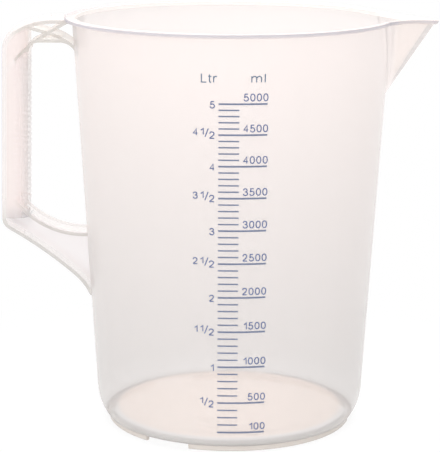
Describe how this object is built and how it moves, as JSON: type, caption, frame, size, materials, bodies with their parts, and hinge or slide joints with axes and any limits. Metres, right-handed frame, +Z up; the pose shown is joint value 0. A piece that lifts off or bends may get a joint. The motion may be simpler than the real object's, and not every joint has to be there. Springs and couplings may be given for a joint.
{
  "type": "measuring jug",
  "caption": "Tapered open measuring jug with a pointed beak spout, a hollow ribbed handle on a webbed arm, a notched foot ring and a printed volume scale.",
  "frame": {"origin": "on the axis of the body, at the table plane under the foot ring", "axes": "+Z up along the body's axis, +X towards the tip of the spout, -X towards the handle, -Y towards the printed scale"},
  "size_m": [0.2725, 0.2002, 0.2566],
  "materials": {
    "polypropylene": "frosted translucent natural polypropylene with a soft sheen",
    "ink": "blue pad-printed ink"
  },
  "bodies": {
    "root": {"wall": "polypropylene", "base": "polypropylene", "foot": "polypropylene", "rim": "polypropylene", "spout": "polypropylene", "outer_strap": "polypropylene", "thumb_bars": "polypropylene", "finger_arch": "polypropylene", "grip": "polypropylene", "finger_ridges": "polypropylene", "grip_floor": "polypropylene", "cross_ribs": "polypropylene", "arm_flange": "polypropylene", "arm_web": "polypropylene", "long_marks": "ink", "short_marks": "ink"}
  },
  "joints": []
}
